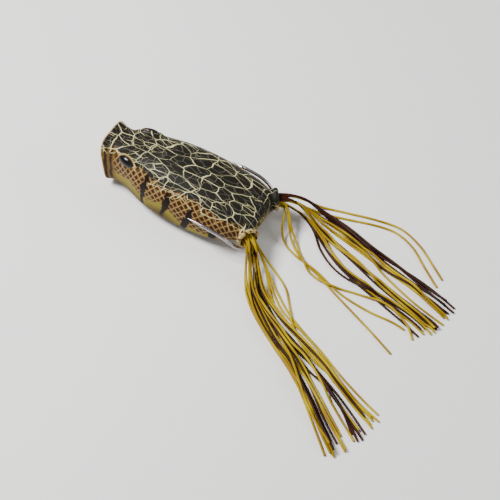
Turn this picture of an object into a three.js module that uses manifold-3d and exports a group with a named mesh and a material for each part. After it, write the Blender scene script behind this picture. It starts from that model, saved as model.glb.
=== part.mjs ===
// Topwater popper: a soft hollow-bodied frog lure with a cupped mouth, a keel weight,
// one double hook and two legs of silicone strands. Sizes are in millimetres.
// +X is the nose, +Y the lure's left side and +Z up. The origin is under the middle of
// the lure, on the plane that its keel weight rests on.

import * as THREE from 'three';
import { mergeVertices } from 'three/addons/utils/BufferGeometryUtils.js';
import Module from 'manifold-3d';

const wasm = await Module();
wasm.setup();

// ---------------------------------------------------------------- driving dimensions

const GAP = 0.3;               // clearance between pieces that touch
const SIDES = [['left', 1], ['right', -1]];

const LIP_X = 34.5;            // front edge of the upper lip
const LIP_SLANT = 1.6;         // how far the lower lip lies behind the upper one
const TAIL_X = -32.6;          // rear face of the body, without its sleeves
const SKIN = 1.3;              // thickness of the soft body wall
const RING_POINTS = 40;

const CUP_DEPTH = 5.5;         // the dished mouth
const CUP_RIM = 1.5;           // width of the lip's edge

const EYE = { x: 21.8, y: 8.2, z: 19.8, length: 6.4, height: 4.4, depth: 2.4 };
const EYE_TILT = 34;           // degrees that each eye looks up from level
const EYE_TURN = 12;           // degrees that each eye looks forward

const MOUTH = { x: -32.9, y: 11.2, z: 10.0 };   // middle of each tail sleeve's opening
const SLEEVE = { outer: 3.9, bore: 3.1, rim: 4.3, reach: 7.5 };
const SLEEVE_SPLAY = 33;       // degrees that each sleeve turns outward

const WIRE = 0.62;             // radius of the hook wire
const SHANK_Y = 0.8;           // each shank's distance from the middle
const SHANK_Z = 3.7;           // height of the shanks inside the keel
const LOOP = { x: 32.3, z: 9.5, radius: 2.05 };
const SHANK_HOLE = 2;          // radius of the hole behind the loop
const HOOK_SLOT = { length: 9, width: 6, top: 5.7 };   // the slit where the hook leaves the belly

const KEEL = { front: 2, rear: -19, width: 7.6, height: 6.6, chamfer: 1.5 };

const TUBE = 0.7;              // radius of a tube that stands for a few strands
const TUBE_PITCH = 2 * TUBE + GAP;
const TUBE_SIDES = 8;
const TUBE_STEP = 4.2;
const BAND = { radius: 2.4, thickness: 0.55, length: 1.5, behind: 7.4 };
const CORE = 2.1;              // radius of the tied strands inside the tail

// ---------------------------------------------------------------- materials

const paint = (color, roughness, metalness = 0) =>
  new THREE.MeshStandardMaterial({ color, roughness, metalness });

const softBody = () => paint(0x4a4a38, 0.45);
const darkNickel = () => paint(0x2c2a2e, 0.22, 0.95);
const castLead = () => paint(0x6f7072, 0.5, 0.8);
const resinEye = () => paint(0x0b0a0a, 0.08);
const blackRubber = () => paint(0x1c1b1a, 0.7);
const yellowSilicone = () => paint(0xd8b41a, 0.4);
const maroonSilicone = () => paint(0x46242b, 0.4);

// ---------------------------------------------------------------- geometry helpers

const radians = THREE.MathUtils.degToRad;

// A closed skin over rings of equal length, with each end closed by a fan.
function loft(rings) {
  const count = rings[0].length;
  const first = centreOf(rings[0]);
  const last = centreOf(rings.at(-1));
  const points = [...rings.flat(), first, last];
  const index = [];
  for (let r = 0; r + 1 < rings.length; r++) {
    for (let i = 0; i < count; i++) {
      const a = r * count + i;
      const b = r * count + (i + 1) % count;
      index.push(a, b + count, b, a, a + count, b + count);
    }
  }
  const firstCentre = rings.length * count;
  const lastRing = (rings.length - 1) * count;
  for (let i = 0; i < count; i++) {
    const next = (i + 1) % count;
    index.push(firstCentre, i, next);
    index.push(firstCentre + 1, lastRing + next, lastRing + i);
  }
  const geometry = new THREE.BufferGeometry().setFromPoints(points);
  geometry.setIndex(index);
  return geometry;
}

function centreOf(ring) {
  const sum = ring.reduce((total, point) => total.add(point), new THREE.Vector3());
  return sum.divideScalar(ring.length);
}

// A solid for joining and cutting.
function solid(geometry) {
  const bare = geometry.clone();
  bare.deleteAttribute('normal');
  bare.deleteAttribute('uv');
  const merged = mergeVertices(bare, 1e-4);
  const mesh = new wasm.Mesh({
    numProp: 3,
    vertProperties: new Float32Array(merged.attributes.position.array),
    triVerts: new Uint32Array(merged.index.array),
  });
  return new wasm.Manifold(mesh);
}

function geometryOf(body) {
  const mesh = body.getMesh();
  const geometry = new THREE.BufferGeometry();
  geometry.setAttribute('position', new THREE.BufferAttribute(mesh.vertProperties, 3));
  geometry.setIndex(new THREE.BufferAttribute(mesh.triVerts, 1));
  return geometry;
}

function namedMesh(name, geometry, material) {
  const mesh = new THREE.Mesh(geometry, material);
  mesh.name = name;
  return mesh;
}

function curveThrough(points, closed = false) {
  const vectors = points.map(([x, y, z]) => new THREE.Vector3(x, y, z));
  return new THREE.CatmullRomCurve3(vectors, closed, 'centripetal');
}

// A round rod along a curve.
function rod(curve, radius, steps, sides) {
  const section = new THREE.Shape();
  for (let i = 0; i < sides; i++) {
    const turn = 2 * Math.PI * i / sides;
    const move = i === 0 ? 'moveTo' : 'lineTo';
    section[move](radius * Math.cos(turn), radius * Math.sin(turn));
  }
  section.closePath();
  return new THREE.ExtrudeGeometry(section, { steps, extrudePath: curve, curveSegments: 1 });
}

const box = (size, centre) => new THREE.BoxGeometry(...size).translate(...centre);

function signedPower(value, power) {
  return Math.sign(value) * Math.abs(value) ** power;
}

// ---------------------------------------------------------------- body shape

// Cross-sections from lip to tail: place, half width, top, bottom, and the squareness of
// the upper and lower halves, where 2 is an oval and more is squarer. The last section
// lies just behind the tail.
const STATIONS = [
  { x: 34.5, half: 8.9, top: 22.9, bottom: 0.9, upper: 4.4, lower: 3.6 },
  { x: 31.5, half: 8.3, top: 21.9, bottom: 1.7, upper: 3.8, lower: 3.4 },
  { x: 27.5, half: 8.6, top: 21.5, bottom: 2.0, upper: 3.2, lower: 3.2 },
  { x: 22.0, half: 10.0, top: 22.2, bottom: 1.4, upper: 2.9, lower: 3.0 },
  { x: 15.0, half: 12.6, top: 22.9, bottom: 0.7, upper: 2.8, lower: 3.2 },
  { x: 5.0, half: 14.6, top: 23.2, bottom: 0.4, upper: 2.7, lower: 3.6 },
  { x: -7.0, half: 15.2, top: 22.4, bottom: 0.5, upper: 2.6, lower: 3.8 },
  { x: -17.0, half: 15.0, top: 20.6, bottom: 1.6, upper: 2.5, lower: 3.6 },
  { x: -26.0, half: 13.4, top: 17.9, bottom: 4.7, upper: 2.6, lower: 3.2 },
  { x: -34.0, half: 9.8, top: 13.8, bottom: 6.8, upper: 2.8, lower: 3.0 },
];
const WAIST = 0.37;            // height of the widest line, as a part of the section's height
const BULGE = { rise: 1.3, spread: 4.6 };

function profile(key) {
  const places = STATIONS.map((station) => -station.x);
  const values = STATIONS.map((station) => station[key]);
  const curve = new THREE.CubicInterpolant(places, values, 1);
  return (x) => curve.evaluate(-x)[0];
}

const halfWidth = profile('half');
const topLine = profile('top');
const bottomLine = profile('bottom');
const upperSquareness = profile('upper');
const lowerSquareness = profile('lower');

// A point of the body's section at x, drawn in by the given depth and scaled about its middle.
function bodyPoint(x, turn, depth, scale) {
  const top = topLine(x) - depth;
  const bottom = bottomLine(x) + depth;
  const waist = bottom + WAIST * (top - bottom);
  const power = 2 / (Math.sin(turn) > 0 ? upperSquareness(x) : lowerSquareness(x));
  const across = signedPower(Math.cos(turn), power) * scale;
  const rise = signedPower(Math.sin(turn), power) * scale;
  const reach = rise > 0 ? top - waist : waist - bottom;
  const point = new THREE.Vector3(x, across * (halfWidth(x) - depth), waist + rise * reach);
  return swellOverEye(point, waist);
}

// The head swells out around each eye.
function swellOverEye(point, waist) {
  const away = Math.hypot(point.x - EYE.x, Math.abs(point.y) - EYE.y, point.z - EYE.z);
  const outward = new THREE.Vector3(0, point.y, point.z - waist).normalize();
  return point.addScaledVector(outward, BULGE.rise * Math.exp(-((away / BULGE.spread) ** 2)));
}

// One ring around the body. A slant moves its lower points back.
function ringAt(x, { depth = 0, scale = 1, slant = 0 } = {}) {
  const ring = [];
  const height = topLine(x) - bottomLine(x);
  for (let i = 0; i < RING_POINTS; i++) {
    const point = bodyPoint(x, 2 * Math.PI * i / RING_POINTS, depth, scale);
    point.x -= slant * (topLine(x) - point.z) / height;
    ring.push(point);
  }
  return ring;
}

// The dished mouth, from its deepest ring out to the lip's edge.
function cupRings() {
  return [0.3, 0.6, 0.85, 1].map((part) => {
    const ring = ringAt(LIP_X, { depth: CUP_RIM, scale: part, slant: LIP_SLANT });
    const sink = CUP_DEPTH * Math.sqrt(1 - part * part);
    ring.forEach((point) => { point.x -= sink; });
    return ring;
  });
}

function outerRings() {
  const rings = cupRings();
  rings.push(ringAt(LIP_X, { depth: 0.4, slant: LIP_SLANT }));
  const first = LIP_X - 0.5;
  const last = TAIL_X + 1.6;
  const slantEnds = 22;
  const count = 20;
  for (let i = 0; i <= count; i++) {
    const x = THREE.MathUtils.lerp(first, last, i / count);
    const slant = LIP_SLANT * Math.max(0, (x - slantEnds) / (first - slantEnds));
    rings.push(ringAt(x, { slant }));
  }
  rings.push(ringAt(TAIL_X + 0.5, { depth: 0.6 }));
  rings.push(ringAt(TAIL_X, { depth: 1.8 }));
  return rings;
}

// The hollow inside the skin.
function innerRings() {
  const front = LIP_X - CUP_DEPTH - SKIN - 1;
  const rear = TAIL_X + SKIN + 0.4;
  const count = 13;
  const rings = [ringAt(front, { depth: SKIN + 1.5 })];
  for (let i = 0; i <= count; i++) {
    rings.push(ringAt(THREE.MathUtils.lerp(front - 0.9, rear + 1, i / count), { depth: SKIN }));
  }
  rings.push(ringAt(rear, { depth: SKIN + 1.4 }));
  return rings;
}

// ---------------------------------------------------------------- tail sleeves

// Moves a shape that points along -X, with its end at the origin, into a sleeve's opening.
function atMouth(geometry, side) {
  geometry.rotateZ(-side * radians(SLEEVE_SPLAY));
  return geometry.translate(MOUTH.x, side * MOUTH.y, MOUTH.z);
}

// Turns an outline of [radius, distance behind the opening] about the sleeve's middle line.
function turnedInSleeve(outline, side) {
  const points = outline.map(([radius, behind]) => new THREE.Vector2(radius, -behind));
  return atMouth(new THREE.LatheGeometry(points, 24).rotateZ(Math.PI / 2), side);
}

function sleeveTube(side) {
  const { outer, rim, reach } = SLEEVE;
  return turnedInSleeve([
    [0, reach], [outer, reach], [outer, 1.7], [rim, 1.1], [rim, 0.4], [rim - 0.5, 0], [0, 0],
  ], side);
}

function sleeveBore(side) {
  const { bore, reach } = SLEEVE;
  return turnedInSleeve([[0, reach + 1], [bore, reach + 1], [bore, -1], [0, -1]], side);
}

// ---------------------------------------------------------------- pieces in the body

function eyeForm(side, grow) {
  const form = new THREE.SphereGeometry(0.5, 20, 12);
  form.scale(EYE.length + grow, EYE.depth + grow, EYE.height + grow);
  form.rotateX(side * radians(EYE_TILT));
  form.rotateZ(-side * radians(EYE_TURN));
  return form.translate(EYE.x, side * EYE.y, EYE.z);
}

// The keel's outline from the front, with its corners cut, extruded along the body.
function keelForm(grow) {
  const half = KEEL.width / 2 + grow;
  const top = KEEL.height + grow;
  const cut = KEEL.chamfer;
  const outline = new THREE.Shape();
  outline.moveTo(half - cut, 0);
  outline.lineTo(half, cut);
  outline.lineTo(half, top - cut);
  outline.lineTo(half - cut, top);
  outline.lineTo(cut - half, top);
  outline.lineTo(-half, top - cut);
  outline.lineTo(-half, cut);
  outline.lineTo(cut - half, 0);
  outline.closePath();
  const depth = KEEL.front - KEEL.rear + 2 * grow;
  const form = new THREE.ExtrudeGeometry(outline, { depth, bevelEnabled: false });
  form.rotateX(Math.PI / 2).rotateZ(Math.PI / 2);
  return form.translate(KEEL.rear - grow, 0, 0);
}

function bodyShell() {
  let hollow = solid(loft(innerRings()));
  let skin = solid(loft(outerRings()));
  for (const [, side] of SIDES) {
    hollow = hollow.subtract(solid(eyeForm(side, 2 * SKIN + 2 * GAP)));
    skin = skin.add(solid(sleeveTube(side)));
  }
  let shell = skin.subtract(hollow);
  for (const [, side] of SIDES) {
    shell = shell.subtract(solid(sleeveBore(side)));
    shell = shell.subtract(solid(eyeForm(side, 2 * GAP)));
  }
  for (const opening of [shankHole(), keelForm(GAP), hookSlot()]) {
    shell = shell.subtract(solid(opening));
  }
  return geometryOf(shell);
}

function shankHole() {
  const hole = new THREE.CylinderGeometry(SHANK_HOLE, SHANK_HOLE, 12, 20).rotateZ(Math.PI / 2);
  return hole.translate(LIP_X - CUP_DEPTH - 3, 0, LOOP.z);
}

function hookSlot() {
  const { length, width, top } = HOOK_SLOT;
  const below = 3.3;
  return box([length, width, top + below], [KEEL.rear + 0.5 - length / 2, 0, (top - below) / 2]);
}

// One wire bent into the line loop, two shanks and two upturned hooks.
function hookRoute() {
  const half = [
    [LOOP.x + 1.3, 1.9, LOOP.z], [LOOP.x - 0.3, 2.0, LOOP.z], [LOOP.x - 1.7, 1.35, LOOP.z],
    [LOOP.x - 3.2, SHANK_Y, LOOP.z], [24, SHANK_Y, 9.0], [16, SHANK_Y, 6.4],
    [8, SHANK_Y, 4.4], [2, SHANK_Y, SHANK_Z], [-10, SHANK_Y, SHANK_Z], [-20, SHANK_Y, SHANK_Z],
    [-25.2, 2.2, 3.5], [-28.8, 5.6, 3.2], [-30.9, 9.4, 3.7], [-31.0, 12.4, 4.7],
    [-29.6, 14.4, 6.7], [-27.0, 15.6, 9.2], [-23, 16.1, 11.4], [-16.5, 16.2, 12.7],
    [-9.4, 16.1, 13.4],
  ];
  const mirrored = half.map(([x, y, z]) => [x, -y, z]);
  return [...half.toReversed(), [LOOP.x + LOOP.radius, 0, LOOP.z], ...mirrored];
}

function doubleHook() {
  return rod(curveThrough(hookRoute()), WIRE, 120, 8);
}

// The keel is cast around the shanks, so a channel for them runs through it.
function bellyWeight() {
  const length = KEEL.front - KEEL.rear + 2;
  const width = 2 * (SHANK_Y + WIRE + GAP);
  const height = 2 * (WIRE + GAP) + 0.2;
  const channel = box([length, width, height], [(KEEL.front + KEEL.rear) / 2, 0, SHANK_Z]);
  return geometryOf(solid(keelForm(0)).subtract(solid(channel)));
}

// ---------------------------------------------------------------- skirt

// A point of a sleeve's middle line, moved across and up inside the bundle.
function inSleeve(side, behind, across = 0, up = 0) {
  const turn = radians(SLEEVE_SPLAY);
  return [
    MOUTH.x + behind * Math.cos(turn) + across * Math.sin(turn),
    side * (MOUTH.y - behind * Math.sin(turn) + across * Math.cos(turn)),
    MOUTH.z + up,
  ];
}

// The middle of all the strands, which crosses the tail from one sleeve to the other.
function skirtCore() {
  const left = [2.2, 5, 7.4, 9.4].map((behind) => inSleeve(1, behind));
  const right = left.map(([x, y, z]) => [x, -y, z]).reverse();
  const middle = [[-23.0, 3.2, MOUTH.z], [-22.4, 0, MOUTH.z], [-23.0, -3.2, MOUTH.z]];
  return rod(curveThrough([...left, ...middle, ...right]), CORE, 20, 12);
}

// A rubber ring that keeps a leg from pulling out through its sleeve.
function skirtBand(side) {
  const inner = BAND.radius;
  const outer = inner + BAND.thickness;
  const near = BAND.behind;
  const far = near + BAND.length;
  const outline = [[inner, near], [inner, far], [outer, far], [outer, near], [inner, near]];
  return turnedInSleeve(outline, side);
}

// Each strand tube: its place in the bundle, in tube pitches [across, up], then its free run.
// Lower tubes lie on the floor and upper ones on top of them.
const LEFT_LOWER = {
  left_strands_outer: { color: 'yellow', slot: [1, 0], run: [
    [-34.5, 15.5, 8.0], [-37.2, 21.0, 3.6], [-42.0, 28.0, 1.2], [-50.5, 35.4, 0.9], [-60.4, 42.2, 0.9],
    [-70.6, 48.4, 0.9], [-80.8, 56.2, 0.9], [-91.4, 65.0, 0.9], [-101.0, 73.2, 0.9]] },
  left_strands_outer_mid: { color: 'maroon', slot: [0.5, -0.87], run: [
    [-35.4, 14.5, 6.4], [-38.7, 19.6, 2.7], [-43.7, 26.2, 1.0], [-51.9, 33.4, 0.9], [-62.0, 39.6, 0.9],
    [-72.7, 45.2, 0.9], [-83.4, 52.6, 0.9], [-94.4, 61.0, 0.9], [-104.2, 69.0, 0.9]] },
  left_strands_inner_mid: { color: 'maroon', slot: [-0.5, -0.87], run: [
    [-36.7, 13.4, 6.4], [-40.4, 18.2, 2.6], [-45.3, 24.6, 1.0], [-53.5, 31.2, 0.9], [-63.8, 36.6, 0.9],
    [-74.9, 41.6, 0.9], [-86.2, 47.8, 0.9], [-97.4, 54.4, 0.9], [-107.4, 60.4, 0.9]] },
  left_strands_inner: { color: 'yellow', slot: [-1, 0], run: [
    [-38.2, 12.4, 7.4], [-43.5, 16.2, 3.4], [-49.0, 21.6, 1.0], [-56.0, 28.0, 0.9], [-66.0, 33.0, 0.9],
    [-77.2, 37.2, 0.9], [-88.4, 42.0, 0.9], [-99.4, 46.4, 0.9], [-109.4, 50.0, 0.9]] },
};
const LEFT_UPPER = {
  left_strands_top_outer: { color: 'yellow', slot: [0.5, 0.87], run: [
    [-35.2, 14.8, 10.1], [-38.2, 20.0, 5.9], [-43.0, 26.9, 2.6], [-51.2, 34.4, 2.5], [-61.2, 40.9, 2.5],
    [-71.6, 46.8, 2.5], [-82.1, 54.4, 2.1], [-92.9, 63.0, 1.8], [-102.4, 70.9, 1.6]] },
  left_strands_top_middle: { color: 'yellow', slot: [0, 0], run: [
    [-36.0, 14.0, 8.6], [-39.5, 19.0, 5.0], [-44.5, 25.5, 2.6], [-52.7, 32.3, 2.5], [-62.9, 38.1, 2.5],
    [-73.8, 43.4, 2.5], [-84.9, 50.2, 2.3], [-96.0, 57.8, 1.8], [-105.6, 64.6, 0.9]] },
  left_strands_top_inner: { color: 'yellow', slot: [-0.5, 0.87], run: [
    [-37.0, 13.2, 10.1], [-40.9, 18.0, 5.8], [-46.2, 24.0, 2.7], [-54.6, 29.9, 2.6], [-64.8, 34.9, 2.5],
    [-76.0, 39.4, 2.5], [-87.2, 45.0, 2.2], [-98.4, 50.4, 1.5], [-108.4, 55.2, 0.9]] },
};
const RIGHT_LOWER = {
  right_strands_outer: { color: 'yellow', slot: [1, 0], run: [
    [-36.4, -16.4, 8.2], [-41.5, -20.4, 3.8], [-48.5, -23.2, 1.2], [-57.5, -25.6, 0.9], [-67.0, -27.8, 0.9],
    [-77.0, -28.6, 0.9], [-86.5, -25.0, 0.9], [-95.5, -18.6, 0.9], [-103.0, -13.0, 0.9]] },
  right_strands_outer_mid: { color: 'yellow', slot: [0.5, -0.87], run: [
    [-36.7, -15.0, 6.6], [-42.0, -18.2, 2.7], [-49.5, -20.4, 1.0], [-58.0, -22.4, 0.9], [-67.0, -24.6, 0.9],
    [-76.0, -25.4, 0.9], [-84.5, -22.4, 0.9], [-92.5, -16.2, 0.9], [-101.0, -9.6, 0.9]] },
  right_strands_inner_mid: { color: 'maroon', slot: [-0.5, -0.87], run: [
    [-37.0, -12.8, 6.4], [-42.4, -14.0, 2.6], [-48.8, -11.2, 1.0], [-56.4, -5.0, 0.9], [-65.0, -0.2, 0.9],
    [-74.4, 2.8, 0.9], [-86.4, 5.6, 0.9], [-98.2, 8.8, 0.9], [-107.8, 12.4, 0.9]] },
  right_strands_inner: { color: 'yellow', slot: [-1, 0], run: [
    [-37.0, -10.6, 8.4], [-40.2, -6.6, 4.6], [-44.8, -1.6, 1.4], [-52.0, 3.0, 0.9], [-61.5, 7.0, 0.9],
    [-71.0, 11.5, 0.9], [-81.0, 16.0, 0.9], [-91.0, 20.5, 0.9], [-99.5, 24.5, 0.9]] },
};
const RIGHT_UPPER = {
  right_strands_top_outer: { color: 'maroon', slot: [0.5, 0.87], run: [
    [-38.0, -15.9, 10.1], [-43.8, -18.4, 6.2], [-51.0, -18.6, 3.0], [-59.5, -17.2, 1.2], [-68.5, -14.6, 0.9],
    [-79.5, -11.4, 0.9], [-91.0, -8.4, 0.9], [-102.0, -5.6, 0.9], [-111.5, -3.0, 0.9]] },
  right_strands_top_middle: { color: 'maroon', slot: [0, 0], run: [
    [-37.6, -14.3, 8.6], [-43.2, -16.5, 4.6], [-50.8, -16.2, 2.7], [-59.5, -14.4, 2.4], [-68.8, -11.8, 1.2],
    [-79.5, -8.0, 0.9], [-91.0, -4.4, 0.9], [-101.5, -0.6, 0.9], [-110.5, 2.6, 0.9]] },
  right_strands_top_inner: { color: 'maroon', slot: [-0.5, 0.87], run: [
    [-38.4, -13.2, 10.3], [-44.5, -13.6, 6.6], [-51.5, -12.0, 3.6], [-59.5, -9.0, 1.4], [-68.8, -5.6, 0.9],
    [-79.2, -1.8, 0.9], [-90.0, 1.6, 0.9], [-100.6, 4.6, 0.9], [-109.8, 7.8, 0.9]] },
};

// Strands start this far outside the opening, so that a leg can swing in its sleeve.
const START = 0.2;
const STRAIGHT = 1.8;

function strandTube({ slot, run }, side) {
  const [across, up] = slot.map((value) => value * TUBE_PITCH);
  const points = [inSleeve(side, -START, across, up), inSleeve(side, -STRAIGHT, across, up), ...run];
  const curve = curveThrough(points);
  const steps = Math.round(curve.getLength() / TUBE_STEP);
  return rod(curve, TUBE, steps, TUBE_SIDES);
}

const strandMaterial = { yellow: yellowSilicone, maroon: maroonSilicone };

function addStrands(group, tubes, side) {
  for (const [name, tube] of Object.entries(tubes)) {
    group.add(namedMesh(name, strandTube(tube, side), strandMaterial[tube.color]()));
  }
}

// ---------------------------------------------------------------- the lure

const popper = new THREE.Group();
popper.add(namedMesh('body_shell', bodyShell(), softBody()));
popper.add(namedMesh('double_hook', doubleHook(), darkNickel()));
popper.add(namedMesh('belly_weight', bellyWeight(), castLead()));
popper.add(namedMesh('skirt_core', skirtCore(), maroonSilicone()));
for (const [name, side] of SIDES) {
  popper.add(namedMesh(`${name}_eye`, eyeForm(side, 0), resinEye()));
  popper.add(namedMesh(`${name}_skirt_band`, skirtBand(side), blackRubber()));
}
addStrands(popper, LEFT_LOWER, 1);
addStrands(popper, LEFT_UPPER, 1);
addStrands(popper, RIGHT_LOWER, -1);
addStrands(popper, RIGHT_UPPER, -1);

export default popper;
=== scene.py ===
"""The looks of the topwater popper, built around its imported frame.

Lengths in the tables are millimetres in the row frame (+X nose, +Y the lure's left, +Z up).
MM turns them into the metres that Blender works in.
"""

import math
import random

import bpy
import numpy as np
from mathutils import Matrix, Vector

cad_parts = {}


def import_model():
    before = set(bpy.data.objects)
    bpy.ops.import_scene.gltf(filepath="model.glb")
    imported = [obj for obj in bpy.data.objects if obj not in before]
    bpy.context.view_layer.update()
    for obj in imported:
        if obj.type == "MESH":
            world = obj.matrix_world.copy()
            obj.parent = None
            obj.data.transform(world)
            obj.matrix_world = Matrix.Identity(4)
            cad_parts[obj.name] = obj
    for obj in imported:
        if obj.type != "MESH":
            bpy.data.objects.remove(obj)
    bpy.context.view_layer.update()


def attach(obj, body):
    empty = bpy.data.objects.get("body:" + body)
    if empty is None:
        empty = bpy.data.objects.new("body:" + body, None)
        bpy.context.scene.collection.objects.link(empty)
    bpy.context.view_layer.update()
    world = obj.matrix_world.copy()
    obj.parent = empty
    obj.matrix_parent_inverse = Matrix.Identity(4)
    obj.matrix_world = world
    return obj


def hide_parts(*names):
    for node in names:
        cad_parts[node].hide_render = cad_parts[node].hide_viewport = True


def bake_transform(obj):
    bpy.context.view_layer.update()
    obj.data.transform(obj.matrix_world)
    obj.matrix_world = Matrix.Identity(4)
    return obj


MM = 0.001
SIDES = (("left", 1), ("right", -1))
ROOT = "hook_and_keel"

# -------- sizes shared with the CAD part

GAP = 0.3
LIP_X = 34.5
LIP_SLANT = 1.6
TAIL_X = -32.6
SKIN = 1.3
CUP_DEPTH = 5.5
CUP_RIM = 1.5
EYE = {"x": 21.8, "y": 8.2, "z": 19.8}
EYE_TILT = 34
EYE_TURN = 12
MOUTH = (-32.9, 11.2, 10.0)
SLEEVE_SPLAY = 33
SLEEVE_REACH = 7.5
SLEEVE_BORE = 3.1
WIRE = 0.62
LOOP_X = 32.3
KEEL = {"front": 2, "rear": -19, "width": 7.6, "height": 6.6, "chamfer": 1.5}

# Sections of the body: x, half width, top, bottom, squareness above and below the waist.
STATIONS = [
    (34.5, 8.9, 22.9, 0.9, 4.4, 3.6),
    (31.5, 8.3, 21.9, 1.7, 3.8, 3.4),
    (27.5, 8.6, 21.5, 2, 3.2, 3.2),
    (22, 10, 22.2, 1.4, 2.9, 3),
    (15, 12.6, 22.9, 0.7, 2.8, 3.2),
    (5, 14.6, 23.2, 0.4, 2.7, 3.6),
    (-7, 15.2, 22.4, 0.5, 2.6, 3.8),
    (-17, 15, 20.6, 1.6, 2.5, 3.6),
    (-26, 13.4, 17.9, 4.7, 2.6, 3.2),
    (-34, 9.8, 13.8, 6.8, 2.8, 3),
]
WAIST = 0.37
BULGE_RISE = 1.3
BULGE_SPREAD = 4.6

# -------- camera, light and floor


def new_object(name, data):
    made = bpy.data.objects.new(name, data)
    bpy.context.scene.collection.objects.link(made)
    return made


def make_camera():
    view_angle = math.radians(18.0725)
    data = bpy.data.cameras.new("camera")
    data.sensor_width = 36
    data.lens = data.sensor_width / 2 / math.tan(view_angle / 2)
    camera = new_object("camera", data)
    camera.location = (-0.211254, 0.321682, 0.470318)
    aim = Vector((-0.03192, 0.008577, 0.0))
    camera.rotation_euler = (aim - camera.location).to_track_quat("-Z", "Y").to_euler()
    bpy.context.scene.camera = camera


def make_lights():
    lights = [
        ("key_light", (0.34, 0.12, 0.56), 9.6, 0.24),
        ("fill_light", (-0.20, 0.55, 0.30), 0.7, 0.50),
        ("rim_light", (-0.50, -0.25, 0.35), 1.8, 0.35),
    ]
    for name, place, power, size in lights:
        data = bpy.data.lights.new(name, "AREA")
        data.energy = power
        data.size = size
        light = new_object(name, data)
        light.location = place
        light.rotation_euler = (-Vector(place)).to_track_quat("-Z", "Y").to_euler()
    world = bpy.data.worlds.new("studio")
    world.use_nodes = True
    background = world.node_tree.nodes["Background"]
    background.inputs["Color"].default_value = (0.95, 0.97, 1.0, 1)
    background.inputs["Strength"].default_value = 0.27
    bpy.context.scene.world = world


def make_floor():
    half = 3.0
    mesh = bpy.data.meshes.new("floor")
    corners = [(-half, -half, 0), (half, -half, 0), (half, half, 0), (-half, half, 0)]
    mesh.from_pydata(corners, [], [(0, 1, 2, 3)])
    mesh.materials.append(Paint("floor_paint").shader(color=(0.80, 0.79, 0.77), Roughness=0.8))
    floor = new_object("floor", mesh)


# -------- node building


class Paint:
    """A material whose nodes are added with short calls. A value is a number or a socket."""

    def __init__(self, name):
        self.material = bpy.data.materials.new(name)
        self.material.use_nodes = True
        self.tree = self.material.node_tree
        self.tree.nodes.clear()
        self.output = self.tree.nodes.new("ShaderNodeOutputMaterial")

    def node(self, kind, **settings):
        made = self.tree.nodes.new(kind)
        for key, value in settings.items():
            setattr(made, key, value)
        return made

    def feed(self, socket, value):
        if isinstance(value, bpy.types.NodeSocket):
            self.tree.links.new(value, socket)
        elif isinstance(value, tuple) and socket.type == "RGBA":
            socket.default_value = (*value, 1)
        else:
            socket.default_value = value

    def math(self, operation, *values):
        made = self.node("ShaderNodeMath", operation=operation)
        for socket, value in zip(made.inputs, values):
            self.feed(socket, value)
        return made.outputs[0]

    def ramp(self, value, low, high):
        """0 below low, 1 above high and smooth between."""
        made = self.node("ShaderNodeMapRange", interpolation_type="SMOOTHSTEP")
        self.feed(made.inputs["Value"], value)
        made.inputs["From Min"].default_value = low
        made.inputs["From Max"].default_value = high
        return made.outputs[0]

    def mix(self, share, first, second):
        made = self.node("ShaderNodeMix", data_type="RGBA")
        self.feed(made.inputs[0], share)
        self.feed(made.inputs[6], first)
        self.feed(made.inputs[7], second)
        return made.outputs[2]

    def attribute(self, name):
        return self.node("ShaderNodeAttribute", attribute_name=name).outputs["Vector"]

    def split(self, vector):
        made = self.node("ShaderNodeSeparateXYZ")
        self.feed(made.inputs[0], vector)
        return made.outputs

    def join(self, x, y, z=0.0):
        made = self.node("ShaderNodeCombineXYZ")
        for socket, value in zip(made.inputs, (x, y, z)):
            self.feed(socket, value)
        return made.outputs[0]

    def add(self, first, second):
        made = self.node("ShaderNodeVectorMath", operation="ADD")
        self.feed(made.inputs[0], first)
        self.feed(made.inputs[1], second)
        return made.outputs[0]

    def scaled(self, vector, times):
        made = self.node("ShaderNodeVectorMath", operation="SCALE")
        self.feed(made.inputs[0], vector)
        self.feed(made.inputs["Scale"], times)
        return made.outputs[0]

    def noise(self, vector, scale, detail=2.0, roughness=0.5):
        made = self.node("ShaderNodeTexNoise")
        self.feed(made.inputs["Vector"], vector)
        made.inputs["Scale"].default_value = scale
        made.inputs["Detail"].default_value = detail
        made.inputs["Roughness"].default_value = roughness
        return made.outputs

    def wobble(self, vector, scale, reach):
        """The vector moved by noise, up to about the given reach each way."""
        color = self.noise(vector, scale)["Color"]
        return self.add(vector, self.scaled(self.add(color, (-0.5, -0.5, -0.5)), 2 * reach))

    def cells(self, vector, scale):
        """Distance from the edges of a net of irregular cells."""
        kind = "ShaderNodeTexVoronoi"
        made = self.node(kind, voronoi_dimensions="2D", feature="DISTANCE_TO_EDGE")
        self.feed(made.inputs["Vector"], vector)
        made.inputs["Scale"].default_value = scale
        return made.outputs["Distance"]

    def object_place(self):
        return self.node("ShaderNodeTexCoord").outputs["Object"]

    def bump(self, height, distance, strength=1.0):
        made = self.node("ShaderNodeBump")
        made.inputs["Distance"].default_value = distance
        made.inputs["Strength"].default_value = strength
        self.feed(made.inputs["Height"], height)
        return made.outputs[0]

    def shader(self, color, normal=None, **values):
        made = self.node("ShaderNodeBsdfPrincipled")
        self.feed(made.inputs["Base Color"], color)
        for name, value in values.items():
            self.feed(made.inputs[name.replace("_", " ")], value)
        if normal is not None:
            self.feed(made.inputs["Normal"], normal)
        self.tree.links.new(made.outputs[0], self.output.inputs["Surface"])
        return self.material


# -------- materials

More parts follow.
